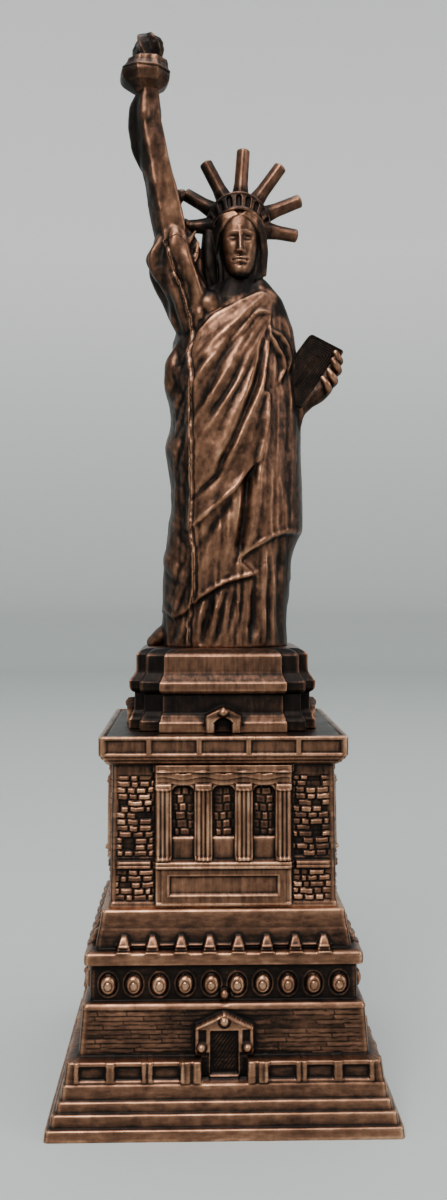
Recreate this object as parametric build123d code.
from build123d import *

"""A souvenir model of a landmark: a robed figure with a raised torch, a rayed crown and a tablet,
on a plinth, a columned tower and a stepped base.

It is a hollow assembly of copper-plated zinc castings. The base and the tower are each four relief
plates, mitred at the corners and soldered inside. The figure is two half shells, joined along a
vertical parting plane. One bolt holds the figure and the plinth to the deck of the tower, and a
steel plate with four screws and a felt pad closes the base.

Units are millimetres. X is to the right, Y goes from front to back, and Z is up. The origin is the
middle of the footprint, on the surface that the model stands on. A plate is drawn on the front
side, where "out" is the distance from the axis of the model, and is then turned to its own side.
"""

import math
import os

# ---- driving dimensions -------------------------------------------------------------------------
BASE_HALF = 44.5  # half the footprint
BASE_TOP = 53.0  # top of the four base plates
TOWER_TOP = 97.3  # top of the cornice and of the deck plate
PLINTH_TOP = 117.5  # top of the plinth's upper tier
GROUND_TOP = 118.8  # top of the mound that the figure stands on
TORCH_TOP = 287.2  # tip of the flame

REACH = 120.0  # longer than anything that it cuts
CORNER_BEVEL = 1.2  # bevel on the outer corners of the base and tower
SOLDER_LEG = 1.6  # depth of the solder run in an inner corner
GAP = 0.05  # clearance between two pieces that slide together

SIDES = (("front", 0), ("right", 90), ("rear", 180), ("left", 270))

# Outer outline of the base plates, from the floor up, as (out, height).
STEP_TOPS = (2.8, 5.9, 8.5, 12.1)
BASE_OUTER = [
    (BASE_HALF, 0.0),
    (BASE_HALF - 0.3, STEP_TOPS[0]),
    (43.3, STEP_TOPS[0]),
    (42.9, STEP_TOPS[1]),
    (42.1, STEP_TOPS[1]),
    (41.6, STEP_TOPS[2]),
    (41.0, STEP_TOPS[2]),
    (40.5, STEP_TOPS[3]),
    (40.4, STEP_TOPS[3]),
    (39.5, 17.4),
    (38.2, 17.4),
    (38.2, 15.6),
    (36.9, 15.6),
    (35.8, 29.2),
    (34.1, 30.8),
    (34.1, 39.4),
    (35.5, 40.3),
    (35.5, 43.0),
    (34.6, 43.4),
    (34.4, 44.2),
    (33.7, 44.2),
    (33.6, 43.6),
    (32.6, 43.6),
    (31.9, 48.2),
    (31.6, 48.3),
    (31.2, BASE_TOP),
]
BASE_INNER = [(27.0, BASE_TOP), (27.0, 50.0), (31.2, 30.0), (33.4, 16.0), (37.8, 11.0), (41.6, 2.0), (41.6, 0.0)]

# Outer outline of the tower plates. The wall leans in by a millimetre from foot to cornice.
TOWER_FOOT, TOWER_NECK = 29.6, 28.6
CORNICE_FOOT = 89.9
TOWER_OUTER = [
    (TOWER_FOOT, BASE_TOP),
    (TOWER_NECK, CORNICE_FOOT),
    (30.6, CORNICE_FOOT + 0.4),
    (31.4, 91.0),
    (31.6, 91.6),
    (32.1, 92.0),
    (32.1, TOWER_TOP),
]
DECK_HALF, DECK_THICK = 30.4, 1.8
TOWER_LIP = 2.0  # the tower's foot reaches this far down inside the base
TOWER_INNER = [
    (DECK_HALF + GAP, TOWER_TOP),
    (DECK_HALF + GAP, TOWER_TOP - DECK_THICK),
    (26.0, TOWER_TOP - DECK_THICK),
    (25.6, BASE_TOP - TOWER_LIP),
    (27.0 - GAP, BASE_TOP - TOWER_LIP),
    (27.0 - GAP, BASE_TOP),
]

# Bays and openings of the tower.
BAY_HALF = 17.5
BAY_OUT = 0.8  # the middle bay stands this far in front of the brick piers
PILASTERS = (-15.6, -5.2, 5.2, 15.6)
PILASTER_HALF = 1.8
NICHES = (-10.4, 0.0, 10.4)
NICHE_HALF = 2.9
NICHE_SPRING = 81.4
SILL = (63.1, 64.9)
PARAPET_TOP = 71.1
CORNICE_PANELS = 5
CORNICE_PITCH, CORNICE_BAR = 12.7, 1.3

# Ornaments of the base.
KNOBS, KNOB_PITCH, KNOB_HEIGHT, KNOB_RADIUS = 10, 6.5, 34.9, 2.1
MERLONS, MERLON_PITCH, MERLON_HALF = 8, 7.25, 1.5
RAIL_PANELS = ((11.1, 17.9), (20.5, 27.3), (29.4, 36.2))
GATE_HALF, GATE_EAVES, GATE_APEX = 7.35, 25.6, 28.7
GATE_FOOT_HALF = 5.8
DOOR_HALF, DOOR_TOP = 3.5, 24.3

# Figure: horizontal sections as (height, x, y, half width, half depth).
ROBE = [
    (GROUND_TOP, -0.8, 0.6, 20.0, 14.4),
    (123.0, 0.3, 0.4, 18.9, 13.8),
    (130.0, 1.4, 0.2, 17.8, 13.4),
    (143.0, 2.1, 0.0, 18.2, 13.2),
    (150.0, 3.6, 0.0, 18.6, 13.2),
    (160.0, 4.5, 0.0, 18.5, 13.2),
    (171.0, 3.8, 0.0, 18.8, 13.4),
    (184.0, 4.4, 0.0, 18.7, 13.2),
    (192.0, 3.0, -0.2, 19.0, 12.8),
    (200.0, 3.3, -0.3, 18.2, 12.0),
    (207.0, 2.6, -0.5, 17.2, 10.8),
    (213.0, 1.8, -0.7, 16.0, 9.4),
    (217.5, 2.2, -0.9, 12.4, 7.6),
    (220.5, 3.0, -1.0, 8.0, 5.4),
]
ARM = [
    (206.0, -8.0, -1.5, 5.6, 5.6),
    (214.0, -9.4, -2.6, 5.9, 6.0),
    (220.0, -12.0, -3.5, 6.2, 6.2),
    (225.0, -14.0, -4.2, 6.2, 6.0),
    (230.0, -13.8, -4.8, 5.6, 5.6),
    (236.4, -14.1, -5.2, 5.3, 5.2),
    (246.4, -16.5, -5.6, 4.7, 4.7),
    (256.4, -19.2, -6.0, 4.1, 4.2),
    (262.0, -20.3, -6.0, 3.8, 4.0),
    (267.5, -21.1, -6.0, 4.3, 4.4),
    (272.4, -21.1, -6.0, 3.4, 3.6),
]
WALL = 2.2  # thickness of the shells
PARTING_Y = 0.6  # the front shell lies in front of this plane
PARTING_LINE = [  # and inside this outline, as (x, height): the seam climbs from the hem to the sleeve
    (-9.2, GROUND_TOP - 2),
    (-9.2, 126.3),
    (-7.7, 134.5),
    (-7.8, 143.1),
    (-8.9, 151.6),
    (-8.6, 160.8),
    (-8.7, 194.2),
    (-9.5, 198.3),
    (-8.2, 205.0),
    (-8.8, 209.2),
    (-11.4, 217.3),
    (-14.1, 224.6),
    (-15.6, 229.5),
    (-12.0, 231.0),
    (-6.0, 226.0),
    (0.0, 224.5),
    (40.0, 224.5),
    (40.0, GROUND_TOP - 2),
]

HEAD = [
    (215.5, 4.4, -1.0, 6.2, 5.2),
    (220.0, 4.6, -1.4, 6.6, 5.8),
    (224.0, 4.8, -1.8, 7.2, 7.0),
    (229.0, 4.9, -2.0, 7.8, 7.8),
    (235.0, 4.9, -1.8, 8.1, 8.3),
    (241.0, 4.8, -1.4, 7.0, 7.6),
    (245.0, 4.8, -1.0, 4.6, 5.0),
    (246.5, 4.8, -0.8, 1.6, 1.8),
]
CROWN_CENTRE = (4.7, -2.0, 237.6)
CROWN_TILT = 24.0  # the crown leans back by this angle
CROWN_INNER, CROWN_OUTER, CROWN_TALL = 7.6, 9.6, 5.4
RAYS = ((-92, 13.4), (-60, 17.4), (-28, 19.8), (4, 21.2), (36, 20.6), (68, 19.0), (100, 17.0))
RAY_START = 8.6
RAY_FOOT_RADIUS, RAY_TIP_RADIUS = 1.8, 1.5

TORCH_AXIS = (-21.1, -6.0)
GALLERY = ((272.5, 4.4), (273.9, 6.6), (276.6, 6.8), (279.4, 5.6))
HANDLE_RADIUS, HANDLE_FOOT = 1.7, 262.0
FLAME = ((279.4, 3.9), (281.8, 4.0), (285.0, 3.4), (TORCH_TOP, 1.4))

TABLET_LENGTH, TABLET_WIDTH, TABLET_THICK = 20.4, 9.4, 2.4
TABLET_CENTRE = (22.9, -4.9, 195.3)
TABLET_LONG_ANGLE, TABLET_SHORT_ANGLE = 53.8, 152.9  # directions of the edges, from X towards Z
HAND = [
    (181.5, 20.6, -3.6, 1.8, 2.2),
    (185.0, 22.0, -4.0, 2.6, 2.8),
    (187.5, 25.0, -4.4, 3.6, 3.4),
    (190.0, 28.2, -4.8, 3.2, 3.6),
    (193.2, 30.0, -4.9, 2.4, 3.6),
    (196.4, 30.9, -4.9, 2.1, 3.4),
    (199.6, 31.6, -4.9, 1.3, 2.8),
    (200.6, 31.7, -4.9, 0.7, 1.6),
]

BOLT_RADIUS, BOLT_HEAD_RADIUS, BOLT_HEAD = 2.0, 3.6, 2.4
WASHER_RADIUS, WASHER_THICK = 5.5, 0.8
NUT_ACROSS, NUT_THICK = 7.0, 3.2
FLOOR_THICK = 2.4  # floor of the figure shells
PLATE_UNDER, PLATE_THICK = 1.0, 1.0
SCREW_X, SCREW_Y, SCREW_RADIUS = 35.0, 28.0, 1.25
SCREW_HEAD_RADIUS, SCREW_HEAD, SCREW_LENGTH = 2.4, 0.9, 7.0
BOSS_HALF, BOSS_TOP = 3.6, 10.0


# ---- small helpers ------------------------------------------------------------------------------
def block(x0, x1, y0, y1, z0, z1):
    """A box between two corners."""
    return Pos((x0 + x1) / 2, (y0 + y1) / 2, (z0 + z1) / 2) * Box(x1 - x0, y1 - y0, z1 - z0)


def run(outline, x0=-REACH, x1=REACH):
    """An outline of (out, height) points on the front side, run along X from x0 to x1."""
    points = [(-out, height) for out, height in outline]
    face = Plane.YZ * make_face(Polyline(*points, close=True))
    return Pos(x0, 0, 0) * extrude(face, amount=x1 - x0)


def between(face, z0, z1, x0, x1, near, far):
    """The solid between two offsets from a sloping face, over a range of heights and of X."""
    outline = [(face(z0) + near, z0), (face(z1) + near, z1), (face(z1) + far, z1), (face(z0) + far, z0)]
    return run(outline, x0, x1)


def slope(low, high):
    """A straight face between two (out, height) points, as a function of height."""
    (out0, z0), (out1, z1) = low, high
    return lambda z: out0 + (out1 - out0) * (z - z0) / (z1 - z0)


def relief(points, out0, out1):
    """A plate with an outline of (x, height) points that stands on the front side between two distances."""
    face = Plane.XZ * make_face(Polyline(*points, close=True))
    return Pos(0, -out0, 0) * extrude(face, amount=out1 - out0)


def peg(x, z, radius, out0, out1):
    """A round boss on the front side."""
    return Pos(x, -(out0 + out1) / 2, z) * Rot(90, 0, 0) * Cylinder(radius, out1 - out0)


def oval_loft(sections):
    """A smooth body through horizontal ovals."""
    return loft([Pos(x, y, z) * Ellipse(half_x, half_y) for z, x, y, half_x, half_y in sections])


def mitred(outer, inner, top):
    """A plate of the front side: its outline, cut at 45 degrees to meet its neighbours, corners bevelled."""
    wedge = extrude(make_face(Polyline((0, 0), (-REACH, -REACH), (REACH, -REACH), close=True)), amount=top)
    plate = run(outer + inner) & wedge
    root2 = math.sqrt(2)
    corner = [(out * root2 - CORNER_BEVEL, height) for out, height in outer]
    corner = [(0.0, corner[0][1] - REACH), (corner[0][0], corner[0][1] - REACH)] + corner
    corner += [(corner[-1][0], corner[-1][1] + 1), (0.0, corner[-1][1] + 1)]
    for turn in (-45, 45):
        plate &= Rot(0, 0, turn) * run(corner)
    return plate


def corner_solder(inner, low, high):
    """Four runs of solder, one in each inner corner, between two heights."""
    root2 = math.sqrt(2)
    kept = sorted({point for point in inner if low < point[1] < high}, key=lambda point: point[1])
    path = [(interpolate(inner, low), low)] + kept + [(interpolate(inner, high), high)]
    cavity = run(path + [(0.0, high), (0.0, low)]) & Rot(0, 0, 90) * run(path + [(0.0, high), (0.0, low)])
    strip = [(out * root2 - SOLDER_LEG, z) for out, z in path]
    strip += [(out * root2 + 1, z) for out, z in reversed(path)]
    return [Rot(0, 0, 45 + turn) * run(strip) & Rot(0, 0, turn) * cavity for _, turn in SIDES]


def interpolate(outline, height):
    """How far out an outline is at a height."""
    for (out0, z0), (out1, z1) in zip(outline, outline[1:]):
        if z0 != z1 and min(z0, z1) <= height <= max(z0, z1):
            return out0 + (out1 - out0) * (height - z0) / (z1 - z0)
    raise ValueError(height)


# ---- base ---------------------------------------------------------------------------------------
def base_plate():
    """One side of the base: steps, railing, gate, sloping wall, a row of knobs and a crenellated ledge."""
    plate = mitred(BASE_OUTER, BASE_INNER, BASE_TOP)
    rail = slope((40.4, 12.1), (39.5, 17.4))
    wall = slope((36.9, 15.6), (35.8, 29.2))
    for side in (-1, 1):
        for low, high in RAIL_PANELS:
            x0, x1 = sorted((side * low, side * high))
            plate -= between(rail, 13.0, 16.4, x0, x1, -0.7, 2)
        x0, x1 = sorted((side * GATE_FOOT_HALF, side * 10.7))
        plate += between(rail, 12.1, 17.4, x0, x1, -1.2, 0.5)
    plate -= between(rail, 12.1, 17.5, -GATE_FOOT_HALF, GATE_FOOT_HALF, -2.4, 2)
    plate += relief(
        [
            (-GATE_FOOT_HALF + 0.2, 12.1),
            (-GATE_FOOT_HALF + 0.2, 17.6),
            (-GATE_HALF, 17.6),
            (-GATE_HALF, GATE_EAVES),
            (0, GATE_APEX),
            (GATE_HALF, GATE_EAVES),
            (GATE_HALF, 17.6),
            (GATE_FOOT_HALF - 0.2, 17.6),
            (GATE_FOOT_HALF - 0.2, 12.1),
        ],
        35.0,
        38.1,
    )
    plate -= block(-DOOR_HALF, DOOR_HALF, -REACH, -wall(20) - 0.5, 13.2, DOOR_TOP)
    plate += peg(0, 26.4, 1.1, 37.0, 38.9)
    for side in (-1, 1):
        plate += peg(side * 5.75, 20.0, 1.0, 37.0, 38.9)
    for number in range(KNOBS):
        x = (number - (KNOBS - 1) / 2) * KNOB_PITCH
        plate += peg(x, KNOB_HEIGHT, KNOB_RADIUS, 33.0, 35.1)
        plate += peg(x, KNOB_HEIGHT, KNOB_RADIUS * 0.62, 35.0, 35.7)
    plate += peg(0, 32.4, 0.9, 33.0, 35.3)
    merlon = [(34.9, 43.2), (34.5, 45.0), (32.6, 47.0), (31.0, 47.0), (31.0, 43.2)]
    for number in range(MERLONS):
        x = (number - (MERLONS - 1) / 2) * MERLON_PITCH
        plate += run(merlon, x - MERLON_HALF, x + MERLON_HALF)
    return plate


def screw_boss(y):
    """A block inside a side plate that takes one screw of the closing plate."""
    top_out = interpolate(BASE_INNER, BOSS_TOP)
    boss = run(
        [(SCREW_X - BOSS_HALF, PLATE_UNDER + PLATE_THICK), (41.7, PLATE_UNDER + PLATE_THICK)]
        + [(top_out + 0.1, BOSS_TOP), (SCREW_X - BOSS_HALF, BOSS_TOP)],
        y - BOSS_HALF,
        y + BOSS_HALF,
    )
    return boss


def base_plates():
    """The four base plates. The left and right ones carry the screw bosses."""
    plain = base_plate()
    hole = Pos(SCREW_Y, -SCREW_X, 5) * Cylinder(SCREW_RADIUS + 0.02, 2 * SCREW_LENGTH)
    bossed = plain
    for side in (-1, 1):
        bossed += screw_boss(side * SCREW_Y)
    cap = SCREW_LENGTH + PLATE_UNDER + 0.5
    for side in (-1, 1):
        bossed -= Pos(side * SCREW_Y, -SCREW_X, cap / 2) * Cylinder(SCREW_RADIUS + 0.02, cap)
    return {
        f"base_{name}_plate": Rot(0, 0, turn) * (bossed if name in ("left", "right") else plain)
        for name, turn in SIDES
    }


# ---- tower --------------------------------------------------------------------------------------
def niche_outline(x, low):
    """A niche with a round head, as (x, height) points."""
    arc = [
        (x + NICHE_HALF * math.cos(a), NICHE_SPRING + NICHE_HALF * math.sin(a))
        for a in (math.pi * step / 12 for step in range(13))
    ]
    return [(x + NICHE_HALF, low)] + arc + [(x - NICHE_HALF, low)]


def tower_plate():
    """One side of the tower: a bay with pilasters and niches between two piers, and a panelled cornice."""
    plate = mitred(TOWER_OUTER, TOWER_INNER, TOWER_TOP)
    lip_wedge = extrude(
        Pos(0, 0, BASE_TOP - TOWER_LIP) * make_face(Polyline((0, 0), (-40, -40), (40, -40), close=True)),
        amount=TOWER_LIP,
    )
    face = slope((TOWER_FOOT, BASE_TOP), (TOWER_NECK, CORNICE_FOOT))
    plate += between(face, BASE_TOP, CORNICE_FOOT, -BAY_HALF, BAY_HALF, -0.5, BAY_OUT)
    for x in NICHES:
        plate -= relief(niche_outline(x, PARAPET_TOP), 27.4, 40)
        plate -= between(face, SILL[1], PARAPET_TOP + 0.1, x - NICHE_HALF, x + NICHE_HALF, -0.2, 5)
    for x in PILASTERS:
        plate += between(face, SILL[1], 83.4, x - PILASTER_HALF, x + PILASTER_HALF, -0.4, BAY_OUT + 0.6)
        plate += between(face, 83.2, 84.9, x - 2.15, x + 2.15, -0.4, BAY_OUT + 0.9)
    plate += between(face, 84.9, CORNICE_FOOT + 0.2, -BAY_HALF - 0.4, BAY_HALF + 0.4, -0.4, BAY_OUT + 0.7)
    plate += between(face, SILL[0], SILL[1], -BAY_HALF - 0.3, BAY_HALF + 0.3, -0.4, BAY_OUT + 0.7)
    plate -= between(face, 56.5, 61.2, -13.9, 13.9, BAY_OUT - 0.6, 5)
    for side in (-1, 1):
        x0, x1 = sorted((side * (BAY_HALF + 1.2), side * 28.4))
        plate += between(face, SILL[0], SILL[1], x0, x1, -0.4, 0.7)
    panel_half = (CORNICE_PITCH - CORNICE_BAR) / 2
    for number in range(CORNICE_PANELS):
        x = (number - (CORNICE_PANELS - 1) / 2) * CORNICE_PITCH
        plate -= block(x - panel_half, x + panel_half, -REACH, -31.5, 92.9, 96.3)
    return plate + (run(TOWER_INNER[2:5] + [(26.0, BASE_TOP), (25.6, BASE_TOP)]) & lip_wedge)


def deck_plate():
    """The flat top of the tower, which sits in a rebate of the cornice."""
    deck = block(-DECK_HALF, DECK_HALF, -DECK_HALF, DECK_HALF, TOWER_TOP - DECK_THICK, TOWER_TOP)
    return deck - Pos(0, 0, TOWER_TOP) * Cylinder(BOLT_RADIUS + 0.2, 10)


# ---- plinth -------------------------------------------------------------------------------------
def plinth_plan(z, panel, out, square):
    """Plan of a tier at a height: a square block with a panel standing out of each side."""
    quarter = [(panel, out), (panel, square), (square, square), (square, panel), (out, panel)]
    points = []
    for turn in range(4):
        for x, y in quarter:
            for _ in range(turn):
                x, y = y, -x
            points.append((x, y))
    return Pos(0, 0, z) * make_face(Polyline(*points, close=True))


def plinth():
    """The hollow block under the figure, with a small gabled arch on each side."""
    tiers = [
        ((TOWER_TOP, 17.7, 25.3, 22.2), (100.3, 17.7, 25.3, 22.2)),
        ((100.3, 17.3, 24.9, 21.8), (102.1, 16.4, 23.9, 20.9)),
        ((102.1, 16.4, 23.9, 20.9), (107.4, 16.4, 23.9, 20.9)),
        ((107.4, 16.9, 24.8, 21.8), (108.6, 17.2, 25.2, 22.2)),
        ((108.6, 17.2, 25.2, 22.2), (110.5, 17.0, 25.0, 22.0)),
        ((110.5, 16.8, 24.6, 21.6), (112.7, 15.8, 23.4, 20.5)),
        ((112.7, 15.6, 23.2, 20.3), (PLINTH_TOP, 15.6, 23.2, 20.3)),
        ((PLINTH_TOP, 15.2, 22.6, 19.7), (GROUND_TOP, 14.4, 21.6, 18.7)),
    ]
    body = None
    for low, high in tiers:
        tier = loft([plinth_plan(*low), plinth_plan(*high)], ruled=True)
        body = tier if body is None else body + tier
    body -= block(-18, 18, -18, 18, TOWER_TOP, PLINTH_TOP - 2.5)
    gable = [(-5.0, TOWER_TOP), (-5.0, 101.0), (-4.4, 102.2), (0, 104.4), (4.4, 102.2), (5.0, 101.0)]
    gable += [(5.0, TOWER_TOP), (2.2, TOWER_TOP), (2.2, 100.2), (1.4, 101.2), (-1.4, 101.2), (-2.2, 100.2)]
    gable += [(-2.2, TOWER_TOP)]
    for _, turn in SIDES:
        body += Rot(0, 0, turn) * (relief(gable, 23.5, 26.6) + peg(0, 102.6, 1.1, 25.0, 27.1))
    return body - Pos(0, 0, PLINTH_TOP) * Cylinder(BOLT_RADIUS + 0.2, 12)


# ---- figure -------------------------------------------------------------------------------------
def front_region():
    """The part of space that the front shell fills, up to the parting surfaces."""
    return relief(PARTING_LINE, -PARTING_Y, REACH)


def figure_body():
    """The robe and the raised arm, hollow, with a floor that the bolt goes through."""
    inner = [(z, x, y, half_x - WALL, half_y - WALL) for z, x, y, half_x, half_y in ROBE[1:-1]]
    inner = [(GROUND_TOP + FLOOR_THICK, *inner[0][1:])] + inner[1:]
    body = oval_loft(ROBE) - oval_loft(inner)
    body += oval_loft(ARM) - oval_loft(inner)
    return body - Pos(0, 0, GROUND_TOP) * Cylinder(BOLT_RADIUS + 0.2, 12)


def crown():
    """A diadem that leans back on the head, and a hoop behind it that carries seven rays."""
    x, y, z = CROWN_CENTRE
    band = Cylinder(CROWN_OUTER, CROWN_TALL) - Cylinder(CROWN_INNER, 2 * CROWN_TALL)
    band &= block(-REACH, REACH, -REACH, 3.0, -REACH, REACH)
    crown_piece = Pos(x, y, z) * Rot(-CROWN_TILT, 0, 0) * band
    hoop = Rot(90, 0, 0) * (Cylinder(10.2, 3.0) - Cylinder(7.4, 6.0))
    crown_piece += Pos(x, y + 1.4, z - 0.6) * (hoop & block(-REACH, REACH, -REACH, REACH, -3.2, REACH))
    for angle, length in RAYS:
        ray = Cone(RAY_FOOT_RADIUS, RAY_TIP_RADIUS, length - RAY_START)
        crown_piece += Pos(x, y + 1.4, z - 0.6) * Rot(0, angle, 0) * Pos(0, 0, (RAY_START + length) / 2) * ray
    return crown_piece


def torch():
    """The gallery of the torch with its handle."""
    x, y = TORCH_AXIS
    rings = [Pos(x, y, z) * RegularPolygon(radius, 8) for z, radius in GALLERY]
    gallery = loft(rings, ruled=True)
    low = HANDLE_FOOT
    return gallery + Pos(x, y, (low + 275) / 2) * Cylinder(HANDLE_RADIUS, 275 - low)


def flame():
    """The flame, which stands in the gallery."""
    x, y = TORCH_AXIS
    return loft([Pos(x, y, z) * RegularPolygon(radius, 6) for z, radius in FLAME], ruled=True)


def tablet():
    """The tablet, a slab with slanting short edges, which leans against the arm."""
    x, y, z = TABLET_CENTRE
    long_half, short_half = TABLET_LENGTH / 2, TABLET_WIDTH / 2
    long_angle, short_angle = math.radians(TABLET_LONG_ANGLE), math.radians(TABLET_SHORT_ANGLE)
    corners = [
        (
            x + u * long_half * math.cos(long_angle) + v * short_half * math.cos(short_angle),
            z + u * long_half * math.sin(long_angle) + v * short_half * math.sin(short_angle),
        )
        for u, v in ((-1, -1), (1, -1), (1, 1), (-1, 1))
    ]
    return relief(corners, -y - TABLET_THICK / 2, -y + TABLET_THICK / 2)


# ---- fastening ----------------------------------------------------------------------------------
def bolt_under():
    """Height of the bolt head's bearing face."""
    return TOWER_TOP - DECK_THICK - WASHER_THICK


def figure_bolt():
    """A round-headed bolt from inside the tower up into the figure."""
    head = Pos(0, 0, bolt_under() - BOLT_HEAD / 2) * Cylinder(BOLT_HEAD_RADIUS, BOLT_HEAD)
    top = GROUND_TOP + FLOOR_THICK + NUT_THICK + 1.2
    shank = Pos(0, 0, (bolt_under() + top) / 2) * Cylinder(BOLT_RADIUS, top - bolt_under())
    slot = Pos(0, 0, bolt_under() - BOLT_HEAD) * Box(2 * BOLT_HEAD_RADIUS + 1, 0.9, 1.4)
    return head + shank - slot


def bolt_washer():
    """The washer under the bolt's head."""
    ring = Cylinder(WASHER_RADIUS, WASHER_THICK) - Cylinder(BOLT_RADIUS + GAP, 2 * WASHER_THICK)
    return Pos(0, 0, bolt_under() + WASHER_THICK / 2) * ring


def figure_nut():
    """The nut inside the robe."""
    flat = NUT_ACROSS / math.sqrt(3)
    nut = extrude(RegularPolygon(flat, 6), amount=NUT_THICK) - Cylinder(BOLT_RADIUS + 0.02, 4 * NUT_THICK)
    return Pos(0, 0, GROUND_TOP + FLOOR_THICK) * nut


def closing_plate():
    """The steel plate that closes the base from below."""
    half = 41.6 - 0.2
    plate = block(-half, half, -half, half, PLATE_UNDER, PLATE_UNDER + PLATE_THICK)
    for x, y in screw_places():
        plate -= Pos(x, y, PLATE_UNDER) * Cylinder(SCREW_RADIUS + 0.15, 6)
    return plate


def screw_places():
    """Where the four screws of the closing plate are."""
    return [(sx * SCREW_X, sy * SCREW_Y) for sx in (-1, 1) for sy in (-1, 1)]


def plate_screws():
    """The four screws, as separate solids."""
    screws = []
    for x, y in screw_places():
        head = Pos(x, y, PLATE_UNDER - SCREW_HEAD / 2) * Cylinder(SCREW_HEAD_RADIUS, SCREW_HEAD)
        shank = Pos(x, y, PLATE_UNDER + SCREW_LENGTH / 2) * Cylinder(SCREW_RADIUS, SCREW_LENGTH)
        slot = Pos(x, y, PLATE_UNDER - SCREW_HEAD) * Box(4, 0.6, 0.8)
        screws.append(head + shank - slot)
    return screws


def felt_pad():
    """The felt pad under the closing plate, flush with the rim of the base."""
    half = 41.6 - 0.6
    pad = block(-half, half, -half, half, 0, PLATE_UNDER)
    for x, y in screw_places():
        pad -= Pos(x, y, 0) * Cylinder(SCREW_HEAD_RADIUS + 0.4, 6)
    return pad


# ---- assembly -----------------------------------------------------------------------------------
def assembly():
    """Every node, by name."""
    nodes = base_plates()
    nodes["base_corner_solder"] = Compound(children=[s.solid() for s in corner_solder(BASE_INNER, 14.0, 44.0)])
    plate = tower_plate()
    for name, turn in SIDES:
        nodes[f"tower_{name}_plate"] = Rot(0, 0, turn) * plate
    tower_cavity = [(26.0, TOWER_TOP), (26.0, TOWER_TOP - DECK_THICK), (25.6, BASE_TOP - TOWER_LIP)]
    nodes["tower_corner_solder"] = Compound(children=[s.solid() for s in corner_solder(tower_cavity, 56.0, 92.0)])
    nodes["deck_plate"] = deck_plate()
    nodes["plinth"] = plinth()

    nodes["torch"] = torch()
    nodes["torch_flame"] = flame()
    head = oval_loft(HEAD)
    body = figure_body() - nodes["torch"] - head
    nodes["figure_front_shell"] = body & front_region()
    nodes["figure_rear_shell"] = body - front_region()
    nodes["head"] = head
    nodes["crown"] = crown() - head - oval_loft(ARM)
    nodes["tablet"] = tablet() - oval_loft(ROBE)
    nodes["tablet_hand"] = oval_loft(HAND) - oval_loft(ROBE) - nodes["tablet"]

    nodes["figure_bolt"] = figure_bolt()
    nodes["bolt_washer"] = bolt_washer()
    nodes["figure_nut"] = figure_nut()
    nodes["closing_plate"] = closing_plate()
    nodes["plate_screws"] = Compound(children=[s.solid() for s in plate_screws()])
    nodes["felt_pad"] = felt_pad()
    return nodes


os.makedirs("parts", exist_ok=True)
for node_name, shape in assembly().items():
    export_step(shape, f"parts/{node_name}.step")
    print(node_name, len(shape.solids()), round(sum(s.volume for s in shape.solids())))
